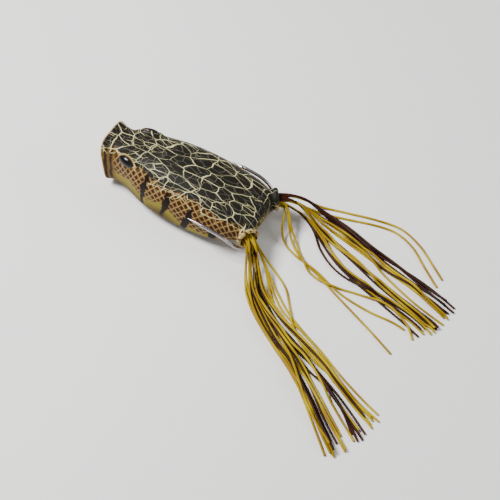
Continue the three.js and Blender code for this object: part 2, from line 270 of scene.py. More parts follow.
CHARCOAL = (0.010, 0.009, 0.006)
CREAM_LINE = (0.56, 0.52, 0.27)
GREY_LINE = (0.115, 0.11, 0.09)
SCALE_EDGE = (0.300, 0.205, 0.080)
SCALE_MIDDLE = (0.028, 0.0085, 0.0012)
SCALE_SHADE = (0.086, 0.032, 0.004)
BELLY = (0.215, 0.168, 0.017)
# Painted shade: the darker colour that the belly takes towards its bottom and under the nose.
BELLY_PAINTED_SHADE = (0.075, 0.045, 0.005)
BAR = (0.006, 0.002, 0.001)
GOLD = (0.30, 0.19, 0.035)
NOSE_OLIVE = (0.125, 0.070, 0.014)
PEACH = (0.50, 0.32, 0.17)
# Dark streaks on the nose; the same colour is also the painted shade deep in the eye sockets.
STREAK_AND_SOCKET_SHADE = (0.020, 0.008, 0.002)
CUP_CREAM = (0.36, 0.28, 0.09)
SOOT = (0.02, 0.015, 0.01)

CELL_SHORTENING = 0.52     # draws the cells of the net out along the body
SCALES_PER_MM = 0.345      # along the body, from corner to corner


def opposite(paint, share):
    return paint.math("SUBTRACT", 1.0, share)


def both(paint, first, second):
    return paint.math("MULTIPLY", first, second)


def ragged(paint, value, blotch, reach):
    """A value whose contours wander with the blotches, up to about half the reach."""
    return paint.math("MULTIPLY_ADD", blotch, reach, value)


def fading_lines(paint, place, scale, widest, narrowest):
    """Lines round cells. Their width drifts, and they fade out where it is below nothing."""
    drift = paint.noise(paint.add(place, (5.0, 9.0, 0.0)), 0.22, 1.0)["Fac"]
    width = paint.math("MULTIPLY_ADD", paint.ramp(drift, 0.3, 0.7), widest - narrowest, narrowest)
    off_line = paint.math("SUBTRACT", paint.cells(place, scale), width)
    return opposite(paint, paint.ramp(off_line, -0.006, 0.009))


def crackle(paint, along, around, above_edge):
    """Shares of the bold and of the thin lines that net the back, in cells drawn out along it."""
    flat = paint.join(paint.math("MULTIPLY", along, CELL_SHORTENING), around)
    flat = paint.wobble(flat, 0.07, 3.0)
    bold = fading_lines(paint, paint.wobble(flat, 0.24, 0.9), 0.24, 0.028, 0.004)
    second_place = paint.add(paint.wobble(flat, 0.30, 0.8), (37.0, 11.0, 0.0))
    second = fading_lines(paint, second_place, 0.36, 0.032, -0.010)
    second = both(paint, second, paint.ramp(above_edge, 3.6, 2))
    fine = paint.cells(paint.wobble(flat, 0.35, 0.5), 0.42)
    thin = opposite(paint, paint.ramp(fine, 0.012, 0.036))
    return paint.math("MAXIMUM", bold, second), thin


def scales(paint, along, around):
    """The flank's diamond scales, about 2 mm across, with pale edges, and their relief."""
    flat = paint.split(paint.wobble(paint.join(along, around), 0.5, 0.35))
    off_edge = []
    for operation in ("ADD", "SUBTRACT"):
        slanting = both(paint, paint.math(operation, flat[0], flat[1]), SCALES_PER_MM)
        off_edge.append(paint.math("PINGPONG", slanting, 0.5))
    inner = paint.math("MINIMUM", *off_edge)
    middle = paint.ramp(inner, 0.16, 0.30)
    edge = opposite(paint, paint.ramp(inner, 0.030, 0.115))
    color = paint.mix(middle, SCALE_SHADE, SCALE_MIDDLE)
    return paint.mix(edge, color, SCALE_EDGE), inner


def flank_paint(paint, along, around, below_edge, blotch):
    """The flank's colour down to the belly, with painted shade low down, forward to the streaked nose, and
    its relief.
    """
    color, relief = scales(paint, along, around)
    # Painted shade: the belly darkens towards its bottom.
    belly = paint.mix(paint.ramp(below_edge, 0.5, 6), BELLY, BELLY_PAINTED_SHADE)
    color = paint.mix(paint.ramp(ragged(paint, below_edge, blotch, 9), -0.9, 0.9), color, belly)
    bar = paint.split(paint.attribute("marks"))[0]
    color = paint.mix(paint.ramp(ragged(paint, bar, blotch, 3.2), -0.25, 0.25), color, BAR)
    stripe = paint.math("SINE", ragged(paint, both(paint, along, 2.6), blotch, 5))
    streak = both(paint, paint.ramp(along, 27, 30), paint.ramp(stripe, -0.5, 0.4))
    streak = both(paint, streak, paint.ramp(below_edge, 9, 3))
    color = paint.mix(paint.ramp(along, 26.5, 29.5), color, NOSE_OLIVE)
    return paint.mix(streak, color, STREAK_AND_SOCKET_SHADE), relief


def edge_paint(paint, color):
    """Colours round the eyes, with painted shade deep in their sockets, on the sleeves' rims, on the lip and
    in the mouth cup.
    """
    off_eye = paint.split(paint.attribute("zone"))[2]
    _, lip, cup = paint.split(paint.attribute("marks"))
    rim, up, across = paint.split(paint.attribute("extra"))
    ring = opposite(paint, paint.ramp(off_eye, 0, 0.18))
    color = paint.mix(ring, color, paint.mix(0.4, GOLD, CREAM_LINE))
    # Painted shade: the skin deep in each eye socket, under the dome, is painted near black.
    socket_shade = opposite(paint, paint.ramp(off_eye, -1.2, -0.9))
    color = paint.mix(socket_shade, color, STREAK_AND_SOCKET_SHADE)
    spots = paint.ramp(paint.cells(paint.join(across, up), 0.62), 0.16, 0.30)
    rim_color = paint.mix(spots, paint.mix(0.35, GOLD, CREAM_LINE), SCALE_SHADE)
    color = paint.mix(rim, color, rim_color)
    color = paint.mix(lip, color, PEACH)
    return paint.mix(cup, color, CUP_CREAM)


def skin_paint():
    """Painted soft plastic: a dark back netted with cracks, scaled flanks and a pale belly with painted
    shade low down.
    """
    paint = Paint("painted_soft_skin")
    along, around, _ = paint.split(paint.attribute("place"))
    above_edge, below_edge, _ = paint.split(paint.attribute("zone"))
    flat = paint.join(along, around)
    blotch = paint.math("SUBTRACT", paint.noise(flat, 0.35, 3.0)["Fac"], 0.5)
    speck = paint.math("SUBTRACT", paint.noise(flat, 1.6, 3.0)["Fac"], 0.5)
    bold, thin = crackle(paint, along, around, above_edge)
    flank, relief = flank_paint(paint, along, around, below_edge, blotch)

    dark = paint.ramp(ragged(paint, above_edge, blotch, 3), -0.5, 0.6)
    color = paint.mix(dark, flank, CHARCOAL)
    color = paint.mix(both(paint, both(paint, thin, dark), 0.8), color, GREY_LINE)
    line_reach = paint.ramp(ragged(paint, above_edge, blotch, 6), -2.8, -1.2)
    lines = both(paint, bold, line_reach)
    color = edge_paint(paint, paint.mix(lines, color, CREAM_LINE))
    color = paint.mix(paint.ramp(speck, 0.10, 0.30), color, paint.mix(0.85, SOOT, color))

    height = paint.math("ADD", lines, both(paint, relief, 0.6))
    fine = paint.noise(flat, 6.0, 2.0)["Fac"]
    height = paint.math("MULTIPLY_ADD", fine, 0.25, height)
    gloss = paint.math("MULTIPLY_ADD", paint.noise(flat, 0.9)["Fac"], 0.16, 0.46)
    return paint.shader(
        color=color,
        normal=paint.bump(height, 0.00006, 0.6),
        Roughness=gloss,
        Specular_IOR_Level=0.10,
        Subsurface_Weight=0.06,
        Subsurface_Radius=(0.002, 0.001, 0.0006),
        Subsurface_Scale=0.5,
    )


def silicone(name, color, shade):
    """A strand's silicone: colour that drifts along it, faint streaks and a soft sheen."""
    paint = Paint(name)
    place = paint.object_place()
    streak = paint.noise(place, 420.0, 1.0)["Fac"]
    tone = paint.noise(place, 90.0, 1.0)["Fac"]
    return paint.shader(
        color=paint.mix(paint.ramp(tone, 0.35, 0.65), color, shade),
        normal=paint.bump(streak, 0.00002, 0.3),
        Roughness=paint.math("MULTIPLY_ADD", streak, 0.2, 0.32),
        Specular_IOR_Level=0.10,
        Subsurface_Weight=0.05,
        Subsurface_Radius=(0.001, 0.0006, 0.0002),
        Subsurface_Scale=0.5,
    )


def nickel():
    """Black nickel on hook wire: bright, with faint drawing marks."""
    paint = Paint("black_nickel_wire")
    place = paint.object_place()
    marks = paint.noise(place, 1400.0, 3.0)["Fac"]
    tone = paint.noise(place, 180.0, 2.0)["Fac"]
    return paint.shader(
        color=paint.mix(tone, (0.30, 0.27, 0.28), (0.46, 0.42, 0.43)),
        normal=paint.bump(marks, 0.00001, 0.1),
        Metallic=1.0,
        Roughness=paint.math("MULTIPLY_ADD", marks, 0.14, 0.17),
    )


def cast_lead():
    """Dull cast weight with pits and a darker skin of oxide."""
    paint = Paint("cast_weight_metal")
    place = paint.object_place()
    pits = paint.noise(place, 1100.0, 4.0)["Fac"]
    oxide = paint.noise(place, 260.0, 3.0)["Fac"]
    return paint.shader(
        color=paint.mix(paint.ramp(oxide, 0.35, 0.65), (0.19, 0.19, 0.20), (0.33, 0.33, 0.34)),
        normal=paint.bump(pits, 0.00012, 0.7),
        Metallic=0.85,
        Roughness=paint.math("MULTIPLY_ADD", oxide, 0.25, 0.38),
    )


def eye_resin():
    """A black pupil in clear gloss, with a faint red-brown iris towards its rim."""
    paint = Paint("gloss_eye_resin")
    rim = paint.split(paint.attribute("rim"))[0]
    grain = paint.noise(paint.object_place(), 2500.0, 2.0)["Fac"]
    edge = paint.math("MULTIPLY_ADD", grain, 0.12, rim)
    iris = paint.ramp(edge, 0.97, 1.06)
    return paint.shader(
        color=paint.mix(iris, (0.004, 0.004, 0.005), (0.10, 0.04, 0.012)),
        Roughness=0.17,
        Specular_IOR_Level=0.30,
    )


def black_rubber():
    paint = Paint("black_band_rubber")
    grain = paint.noise(paint.object_place(), 2200.0, 3.0)["Fac"]
    return paint.shader(
        color=paint.mix(grain, (0.014, 0.014, 0.013), (0.035, 0.034, 0.032)),
        normal=paint.bump(grain, 0.00005, 0.5),
        Roughness=0.7,
    )


# -------- shapes of the body


def profile(column):
    """A smooth function of x through one column of STATIONS, with straight ends."""
    places = [-row[0] for row in STATIONS]
    values = [row[column] for row in STATIONS]
    last = len(places) - 1

    def at(x):
        t = min(max(-x, places[0]), places[-1])
        i = max(k for k in range(last) if places[k] <= t)
        t0, t1 = places[i], places[i + 1]
        before = values[i - 1] if i > 0 else values[i + 1]
        after = values[i + 2] if i + 2 <= last else values[i]
        step_before = t0 - places[i - 1] if i > 0 else t0 - t1
        step_after = places[i + 2] - t1 if i + 2 <= last else t0 - t1
        lead = 0.5 * (t1 - t0) / step_before
        trail = 0.5 * (t1 - t0) / step_after
        p = (t - t0) / (t1 - t0)
        p2, p3 = p * p, p * p * p
        return (
            (-lead * p3 + 2 * lead * p2 - lead * p) * before
            + ((1 + lead) * p3 + (-1.5 - 2 * lead) * p2 + (-0.5 + lead) * p + 1) * values[i]
            + ((-1 - trail) * p3 + (1.5 + trail) * p2 + 0.5 * p) * values[i + 1]
            + (trail * p3 - trail * p2) * after
        )

    return at


PROFILES = [profile(column) for column in range(1, 6)]
half_width, top_line, bottom_line, squareness_above, squareness_below = PROFILES


def turns(count):
    """Angles evenly spaced round a circle."""
    return [2 * math.pi * k / count for k in range(count)]


def signed_power(value, power):
    return math.copysign(abs(value) ** power, value)


def body_point(x, turn, depth, scale):
    top = top_line(x) - depth
    bottom = bottom_line(x) + depth
    waist = bottom + WAIST * (top - bottom)
    power = 2 / (squareness_above(x) if math.sin(turn) > 0 else squareness_below(x))
    across = signed_power(math.cos(turn), power) * scale
    rise = signed_power(math.sin(turn), power) * scale
    reach = top - waist if rise > 0 else waist - bottom
    point = Vector((x, across * (half_width(x) - depth), waist + rise * reach))
    mirrored = Vector((point.x, abs(point.y), point.z))
    away = (mirrored - Vector((EYE["x"], EYE["y"], EYE["z"]))).length
    outward = Vector((0, point.y, point.z - waist)).normalized()
    return point + outward * BULGE_RISE * math.exp(-((away / BULGE_SPREAD) ** 2))


def ring_at(x, count, depth=0.0, scale=1.0, slant=0.0):
    height = top_line(x) - bottom_line(x)
    ring = []
    for turn in turns(count):
        point = body_point(x, turn, depth, scale)
        point.x -= slant * (top_line(x) - point.z) / height
        ring.append(point)
    return ring


def outer_rings(count):
    rings = []
    for part in np.linspace(0.06, 1, 16):
        ring = ring_at(LIP_X, count, CUP_RIM, float(part), LIP_SLANT)
        sink = CUP_DEPTH * math.sqrt(max(0.0, 1 - part * part))
        rings.append([point - Vector((sink, 0, 0)) for point in ring])
    rings.append(ring_at(LIP_X, count, 0.9, slant=LIP_SLANT))
    rings.append(ring_at(LIP_X, count, 0.35, slant=LIP_SLANT))
    first, last, slant_ends = LIP_X - 0.4, TAIL_X + 1.6, 22
    for x in np.linspace(first, last, 110):
        slant = LIP_SLANT * max(0.0, (x - slant_ends) / (first - slant_ends))
        rings.append(ring_at(float(x), count, slant=slant))
    for x, depth in ((0.9, 0.25), (0.35, 0.8), (0.05, 1.5), (0.0, 2.2)):
        rings.append(ring_at(TAIL_X + x, count, depth))
    for part in (0.7, 0.35, 0.05):
        rings.append(ring_at(TAIL_X, count, 2.2, part))
    return rings


def inner_rings(count):
    front = LIP_X - CUP_DEPTH - SKIN - 1
    rear = TAIL_X + SKIN + 0.4
    rings = [ring_at(front, count, SKIN + 1.5)]
    for x in np.linspace(front - 0.9, rear + 1, 26):
        rings.append(ring_at(float(x), count, SKIN))
    rings.append(ring_at(rear, count, SKIN + 1.4))
    return rings


# -------- mesh helpers


def mesh_object(name, points, faces):
    mesh = bpy.data.meshes.new(name)
    mesh.from_pydata([tuple(Vector(p) * MM) for p in points], [], faces)
    mesh.update()
    return new_object(name, mesh)


def ring_faces(ring_count, size, closed=False):
    """Faces between rings of equal size. Either the last joins the first or both ends are capped."""
    faces = []
    for r in range(ring_count - (0 if closed else 1)):
        near, far = r * size, (r + 1) % ring_count * size
        for i in range(size):
            j = (i + 1) % size
            faces.append((near + i, near + j, far + j, far + i))
    if not closed:
        faces.append(tuple(reversed(range(size))))
        faces.append(tuple(range((ring_count - 1) * size, ring_count * size)))
    return faces


def facing_out(obj):
    """Turns a closed mesh's faces outward."""
    mesh = obj.data
    mesh.calc_loop_triangles()
    volume = 0.0
    for triangle in mesh.loop_triangles:
        a, b, c = (mesh.vertices[i].co for i in triangle.vertices)
        volume += a.dot(b.cross(c))
    if volume < 0:
        mesh.flip_normals()
    return obj


def loft(name, rings):
    points = [point for ring in rings for point in ring]
    return facing_out(mesh_object(name, points, ring_faces(len(rings), len(rings[0]))))


def turned(name, outline, count, place):
    """A closed outline of (radius, distance) turned about a line, each point set by place."""
    rings = []
    for turn in turns(count):
        rings.append([place(r * math.cos(turn), r * math.sin(turn), d) for r, d in outline])
    points = [point for ring in rings for point in ring]
    return facing_out(mesh_object(name, points, ring_faces(count, len(outline), closed=True)))


def combine(obj, others, operation):
    """Joins or cuts with exact booleans. The other meshes are used up."""
    for other in others:
        modifier = obj.modifiers.new("combine", "BOOLEAN")
        modifier.operation = operation
        modifier.solver = "EXACT"
        modifier.object = other
        apply_modifiers(obj)
        bpy.data.objects.remove(other)
    return obj


def apply_modifiers(obj):
    graph = bpy.context.evaluated_depsgraph_get()
    mesh = bpy.data.meshes.new_from_object(obj.evaluated_get(graph))
    obj.modifiers.clear()
    obj.data = mesh


def vertex_vectors(mesh, name):
    flat = np.zeros(len(mesh.vertices) * 3, np.float32)
    mesh.vertices.foreach_get(name, flat)
    return flat.reshape(-1, 3).astype(float)


def positions(mesh):
    """Vertex places in millimetres."""
    return vertex_vectors(mesh, "co") / MM


def set_positions(mesh, points):
    mesh.vertices.foreach_set("co", (points * MM).astype(np.float32).ravel())
    mesh.update()


def store_vector(mesh, name, columns):
    attribute = mesh.attributes.new(name, "FLOAT_VECTOR", "POINT")
    values = np.stack(columns, 1).astype(np.float32)
    attribute.data.foreach_set("vector", values.ravel())


def finish_surface(obj, material, sharp=None):
    mesh = obj.data
    mesh.materials.clear()
    mesh.materials.append(material)
    mesh.polygons.foreach_set("use_smooth", [True] * len(mesh.polygons))
    if sharp is not None:
        mesh.set_sharp_from_angle(angle=math.radians(sharp))
    mesh.update()


def smoothstep(value, low, high):
    t = np.clip((value - low) / (high - low), 0, 1)
    return t * t * (3 - 2 * t)


# -------- the soft body


def in_sleeve(side, behind, across=0.0, up=0.0):
    """A point of a sleeve's middle line, moved across and up."""
    turn = math.radians(SLEEVE_SPLAY)
    return Vector((
        MOUTH[0] + behind * math.cos(turn) + across * math.sin(turn),
        side * (MOUTH[1] - behind * math.sin(turn) + across * math.cos(turn)),
        MOUTH[2] + up,
    ))


def sleeve(side):
    """The collar round a leg: a thick rolled rim on a short neck."""
    outline = [
        (0, -0.2), (3.3, -0.2), (3.8, -0.1), (4.25, 0.15), (4.5, 0.6), (4.52, 1), (4.3, 1.45),
        (3.95, 1.8), (3.75, 2.3), (3.8, 2.9), (3.95, 4), (3.9, SLEEVE_REACH), (0, SLEEVE_REACH),
    ]
    return turned("sleeve", outline, 56, lambda a, b, d: in_sleeve(side, d, a, b))


def sleeve_bore(side):
    rim = 0.45
    outline = [
        (0, -1), (SLEEVE_BORE + rim, -1), (SLEEVE_BORE + rim, 0), (SLEEVE_BORE + 0.12, 0.3),
        (SLEEVE_BORE, 0.7), (SLEEVE_BORE, SLEEVE_REACH + 1), (0, SLEEVE_REACH + 1),
    ]
    return turned("sleeve_bore", outline, 56, lambda a, b, d: in_sleeve(side, d, a, b))


DOME = {"length": 7.6, "height": 3.9, "depth": 2.8}
ALMOND = 1.25          # 1 is an egg, and more draws the ends to points
EYE_PROUD = 0.5        # how far the dome stands out beyond the middle of its CAD form


def eye_matrix(side):
    tilt = Matrix.Rotation(side * math.radians(EYE_TILT), 4, "X")
    turn = Matrix.Rotation(-side * math.radians(EYE_TURN), 4, "Z")
    proud = Matrix.Translation((0, side * EYE_PROUD, 0))
    return Matrix.Translation((EYE["x"], side * EYE["y"], EYE["z"])) @ turn @ tilt @ proud


def eye_form(name, side, grow, across=48, along=24):
    """An almond dome: an egg shape whose two ends are drawn to soft points."""
    matrix = eye_matrix(side)
    rings = []
    for k in range(1, along):
        polar = math.pi * k / along
        swell = math.sin(polar) ** ALMOND
        ring = []
        for turn in turns(across):
            local = Vector((
                math.cos(polar) * (DOME["length"] + grow) / 2,
                swell * math.cos(turn) * (DOME["depth"] + grow) / 2,
                swell * math.sin(turn) * (DOME["height"] + grow) / 2,
            ))
            ring.append(matrix @ local)
        rings.append(ring)
    return loft(name, rings)


def keel_form(name, grow):
    half = KEEL["width"] / 2 + grow
    top = KEEL["height"] + grow
    cut = KEEL["chamfer"]
    outline = [
        (half - cut, -grow), (half, cut), (half, top - cut), (half - cut, top),
        (cut - half, top), (-half, top - cut), (-half, cut), (cut - half, -grow),
    ]
    rings = [[(x, y, z) for y, z in outline] for x in (KEEL["rear"] - grow, KEEL["front"] + grow)]
    return loft(name, rings)


def plain_box(name, low, high):
    (x0, y0, z0), (x1, y1, z1) = low, high
    rings = [[(x, y0, z0), (x, y1, z0), (x, y1, z1), (x, y0, z1)] for x in (x0, x1)]
    return loft(name, rings)


def round_bar(name, x0, x1, z, radius, count=32):
    rings = []
    for x in (x0, x1):
        rings.append([(x, radius * math.cos(t), z + radius * math.sin(t)) for t in turns(count)])
    return loft(name, rings)


def outer_skin():
    """The outside of the body with its sleeves, evened out so that they flow into it."""
    skin = loft("soft_body_skin", outer_rings(150))
    combine(skin, [sleeve(side) for _, side in SIDES], "UNION")
    remesh = skin.modifiers.new("remesh", "REMESH")
    remesh.mode = "VOXEL"
    remesh.voxel_size = 0.40 * MM
    smooth = skin.modifiers.new("smooth", "SMOOTH")
    smooth.factor = 0.5
    smooth.iterations = 5
    apply_modifiers(skin)
    return skin


def raise_brows(mesh):
    """Lifts a fold of skin over each eye and a low rim under it."""
    points = positions(mesh)
    normals = vertex_vectors(mesh, "normal")
    lift = np.zeros(len(points))
    for _, side in SIDES:
        off, local = eye_distance(points, side)
        upper = smoothstep(local[:, 2], -0.4, 1.4)
        lift += (0.05 + 0.75 * upper) * np.exp(-(((off - 0.95) / 0.55) ** 2))
    set_positions(mesh, points + normals * lift[:, None])


def eye_distance(points, side):
    """Roughly how far points lie outside an eye's outline, and their place in the eye's frame."""
    inverse = np.array(eye_matrix(side).inverted(), float)
    local = points @ inverse[:3, :3].T + inverse[:3, 3]
    half_length, half_height = DOME["length"] / 2, DOME["height"] / 2
    narrowing = np.clip(1 - (local[:, 0] / half_length) ** 2, 0.25, 1) ** ((ALMOND - 1) / 2)
    height_share = local[:, 2] / (half_height * narrowing)
    share = np.sqrt((local[:, 0] / half_length) ** 2 + height_share ** 2)
    off = (share - 1) * (half_length + half_height) / 2
    behind = np.where(local[:, 1] * side < -2.2, 40.0, 0.0)
    return off + behind, local


# Height of the edge between the dark back and the flank, and between the flank and the belly.
BACK_EDGE = [
    (-34, 13.4), (-31, 13.9), (-27, 14.8), (-20, 16.2), (-14, 17.5), (-11, 18.7), (-1, 19.4),
    (5, 19.3), (11, 20.1), (17, 20.9), (22, 21.3), (27, 20.3), (31, 20.6), (35, 21.4),
]
BELLY_EDGE = [
    (-34, 8.4), (-30, 8), (-18, 7.6), (-9, 7.2), (-3, 8.8), (3, 12.6), (8, 11.4), (12, 10),
    (18, 11.8), (28, 10.6), (31, 9), (35, 8),
]
MIDDLE_LOWERED = 3.0   # the turn round the body is measured from this far below its waist
GIRTH_ADDED = 2.5      # and is scaled by the mean radius and this
AROUND_START = 60.0    # keeps places round the body positive
# Dark bars down each flank: rows of (height, middle, half width).
BARS = [
    [(21, 11, 0.4), (17.5, 11.6, 1.1), (14, 12.1, 1.25), (10, 12.5, 0.8), (5, 13.4, 0.6),
     (2, 13.6, 0.3)],
    [(19, 1, 0.3), (17, 1, 1.1), (14, 1, 1.5), (11, 1.7, 1.2), (7.5, 3.2, 0.8),
     (2, 4.2, 0.5)],
    [(16.5, -9.8, 0.5), (14.5, -9.5, 1.1), (11, -8.6, 1.6), (7, -6.9, 1.5), (3, -6, 0.9)],
    [(11.5, -19.6, 0.2), (9, -19.3, 1.1), (7, -19, 1.6), (4, -18.6, 0.9)],
]


def bar_cover(points):
    """How far points lie inside the nearest dark bar. Outside it is negative."""
    best = np.full(len(points), -9.0)
    for rows in BARS:
        heights, middles, halves = (np.array(column) for column in zip(*reversed(rows)))
        middle = np.interp(points[:, 2], heights, middles)
        half = np.interp(points[:, 2], heights, halves)
        past_ends = np.maximum(points[:, 2] - heights[-1], heights[0] - points[:, 2])
        cover = half - np.abs(points[:, 0] - middle) - np.maximum(past_ends, 0)
        best = np.maximum(best, cover)
    return best


def section_facts(points):
    """Each point's waist height, its radius as a share of the section's, and the mean radius."""
    xs = np.linspace(STATIONS[-1][0], STATIONS[0][0], 140)
    half, top, bottom, above, below = (
        np.interp(points[:, 0], xs, [at(float(x)) for x in xs]) for at in PROFILES
    )
    waist = bottom + WAIST * (top - bottom)
    reach = np.where(points[:, 2] > waist, top - waist, waist - bottom)
    power = np.where(points[:, 2] > waist, above, below)
    across = np.abs(points[:, 1] / half) ** power
    upward = np.abs((points[:, 2] - waist) / reach) ** power
    share = (across + upward) ** (1 / power)
    return waist, share, (half + top - waist) / 2


def sleeve_rims(points, back):
    """Each point's share of a sleeve's pale rim, and the back's edge, lower at the right one."""
    rim = np.zeros(len(points))
    for _, leg in SIDES:
        mouth = np.array(in_sleeve(leg, 0.9))
        axis = np.array(in_sleeve(leg, 1.0) - in_sleeve(leg, 0.0))
        behind = (points - mouth) @ axis
        off_mouth = np.linalg.norm(points - mouth, axis=1)
        this_rim = (off_mouth < 5.2) * smoothstep(behind, 0.75, 0.35)
        if leg < 0:            # the dark back runs out over the right sleeve
            this_rim *= smoothstep(points[:, 2], 12, 10.6)
            back = back - 4 * smoothstep(off_mouth, 6.5, 5)
        rim = np.maximum(rim, this_rim)
    return rim, back


def mark_skin(mesh):
    """Stores what the paint needs to know about each place on the skin at rest."""
    points = positions(mesh)
    waist, share, radius = section_facts(points)
    inward = np.clip(1 - share, 0, 1) * radius
    at_tail = smoothstep(points[:, 0], -30.5, -32.4)
    along = points[:, 0] - at_tail * inward
    turn = np.arctan2(points[:, 1], points[:, 2] - waist + MIDDLE_LOWERED)
    around = turn * (radius + GIRTH_ADDED)
    back = np.interp(points[:, 0], *zip(*BACK_EDGE))
    between = smoothstep(np.abs(points[:, 1]), 12.5, 8.5) * smoothstep(points[:, 0], -29.5, -32)
    back = back - 3.4 * between
    belly = np.interp(points[:, 0], *zip(*BELLY_EDGE))
    off_left, _ = eye_distance(points, 1)
    off_right, _ = eye_distance(points, -1)
    off_eye = np.where(points[:, 1] >= 0, off_left, off_right)
    lid_width = 0.12 + 0.85 * smoothstep(points[:, 2], EYE["z"] - 0.6, EYE["z"] + 1.2)
    lip_top, lip_height = top_line(LIP_X), top_line(LIP_X) - bottom_line(LIP_X)
    behind_lip = LIP_X - LIP_SLANT * (lip_top - points[:, 2]) / lip_height - points[:, 0]
    lip = smoothstep(behind_lip, 0.75, 0.35)
    cup = smoothstep(share, 0.97, 0.92) * smoothstep(points[:, 0], 24, 26)
    rim, back = sleeve_rims(points, back)
    store_vector(mesh, "extra", [rim, points[:, 2], points[:, 1]])
    store_vector(mesh, "place", [along, around + AROUND_START, points[:, 2]])
    store_vector(mesh, "zone", [points[:, 2] - back, belly - points[:, 2], off_eye - lid_width])
    store_vector(mesh, "marks", [bar_cover(points), lip, cup])


def bend_with_squeeze(skin):
    """Bakes the skin's transform into its mesh."""
    points = positions(skin.data)
    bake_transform(skin)


def make_body():
    skin = outer_skin()
    raise_brows(skin.data)
    hollow = loft("hollow", inner_rings(90))
    combine(hollow, [eye_form("wall", side, 2 * SKIN + 2 * GAP) for _, side in SIDES], "DIFFERENCE")
    cutters = [hollow]
    cutters += [sleeve_bore(side) for _, side in SIDES]
    cutters += [eye_form("socket", side, 0.2, 64, 32) for _, side in SIDES]
    cutters += [
        keel_form("keel_opening", GAP),
        round_bar("shank_hole", 19.0, 31.5, 9.5, 2.0),
        plain_box("hook_slot", (-27.5, -3.0, -3.3), (-18.5, 3.0, 5.7)),
    ]
    combine(skin, cutters, "DIFFERENCE")
    mark_skin(skin.data)
    finish_surface(skin, skin_paint(), sharp=50)
    bend_with_squeeze(skin)
    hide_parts("body_shell")


# -------- hook, eyes and weight


def distances_along(line):
    steps = np.linalg.norm(np.diff(line, axis=0), axis=1)
    return np.concatenate([[0], np.cumsum(steps)])


def through(points, count):
    """Evenly spaced points on a centripetal Catmull-Rom curve through the given ones."""
    known = [Vector(p) for p in points]
    ends = [2 * known[0] - known[1], *known, 2 * known[-1] - known[-2]]
    dense = []
    for i in range(len(known) - 1):
        p0, p1, p2, p3 = ends[i:i + 4]
        d1, d2, d3 = ((b - a).length ** 0.5 for a, b in ((p0, p1), (p1, p2), (p2, p3)))
        m1 = (p1 - p0) / d1 - (p2 - p0) / (d1 + d2) + (p2 - p1) / d2
        m2 = (p2 - p1) / d2 - (p3 - p1) / (d2 + d3) + (p3 - p2) / d3
        m1, m2 = m1 * d2, m2 * d2
        for k in range(16):
            t = k / 16
            dense.append(
                p1 * (2 * t**3 - 3 * t**2 + 1) + m1 * (t**3 - 2 * t**2 + t)
                + p2 * (3 * t**2 - 2 * t**3) + m2 * (t**3 - t**2)
            )
    dense.append(known[-1])
    line = np.array([tuple(p) for p in dense])
    along = distances_along(line)
    at = np.linspace(0, along[-1], count)
    return np.stack([np.interp(at, along, line[:, k]) for k in range(3)], 1)


HALF_HOOK = [
    (LOOP_X + 1.3, 1.9, 9.5), (LOOP_X - 0.3, 2, 9.5), (LOOP_X - 1.7, 1.35, 9.5),
    (LOOP_X - 3.2, 0.8, 9.5), (24, 0.8, 9), (16, 0.8, 6.4), (8, 0.8, 4.4), (2, 0.8, 3.7),
    (-10, 0.8, 3.7), (-20, 0.8, 3.7),
    (-25.2, 2.2, 3.5), (-28.8, 5.6, 3.2), (-30.9, 9.4, 3.7), (-31, 12.4, 4.7), (-29.6, 14.4, 6.7),
    (-27, 15.6, 9.2), (-23, 16.1, 11.4), (-16.5, 16.2, 12.7), (-9.4, 16.1, 13.4),
]
WIRE_GROWN = 1.1       # the wire is this much thicker than in the CAD
POINT_TAPER = 6.5      # length over which the wire narrows to its point
BARB = {"far": 5.4, "near": 3.2, "rise": 0.5}


def make_hook():
    """One round wire: a line eye in front, two shanks, and two upturned points with barbs."""
    mirrored = [(x, -y, z) for x, y, z in HALF_HOOK]
    route = [*reversed(mirrored), (LOOP_X + 2.05, 0, 9.5), *HALF_HOOK]
    line = through(route, 620)
    tangents = np.gradient(line, axis=0)
    tangents /= np.linalg.norm(tangents, axis=1)[:, None]
    along = distances_along(line)
    from_tip = np.minimum(along, along[-1] - along)
    sides = 20
    rings = []
    across = Vector((0, 0, 1))
    for place, tangent, off in zip(line, tangents, from_tip):
        tangent = Vector(tangent)
        across = (across - tangent * across.dot(tangent)).normalized()
        other = tangent.cross(across)
        radius = WIRE * WIRE_GROWN * (0.05 + 0.95 * min(1.0, off / POINT_TAPER) ** 0.7)
        middle = Vector((place[0], 0, place[2]))
        inward = (middle - Vector(place)).normalized() if abs(place[1]) > 3 else Vector((0, 0, 1))
        if BARB["near"] < off < BARB["far"]:
            barb = BARB["rise"] * (off - BARB["near"]) / (BARB["far"] - BARB["near"])
        else:
            barb = 0.0
        ring = []
        for turn in turns(sides):
            outward = across * math.cos(turn) + other * math.sin(turn)
            lift = barb * max(0.0, outward.dot(inward) - 0.55) / 0.45
            ring.append(Vector(place) + outward * (radius + lift))
        rings.append(ring)
    hook = loft("hook_wire", rings)
    finish_surface(hook, nickel(), sharp=60)
    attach(hook, ROOT)
    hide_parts("double_hook")


def make_eyes():
    material = eye_resin()
    for name, side in SIDES:
        eye = eye_form(f"{name}_eye_dome", side, 0.0, 64, 32)
        off, _ = eye_distance(positions(eye.data), side)
        share = 1 + off / ((DOME["length"] + DOME["height"]) / 4)
        store_vector(eye.data, "rim", [share, share, share])
        finish_surface(eye, material)
        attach(eye, ROOT)
        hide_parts(f"{name}_eye")


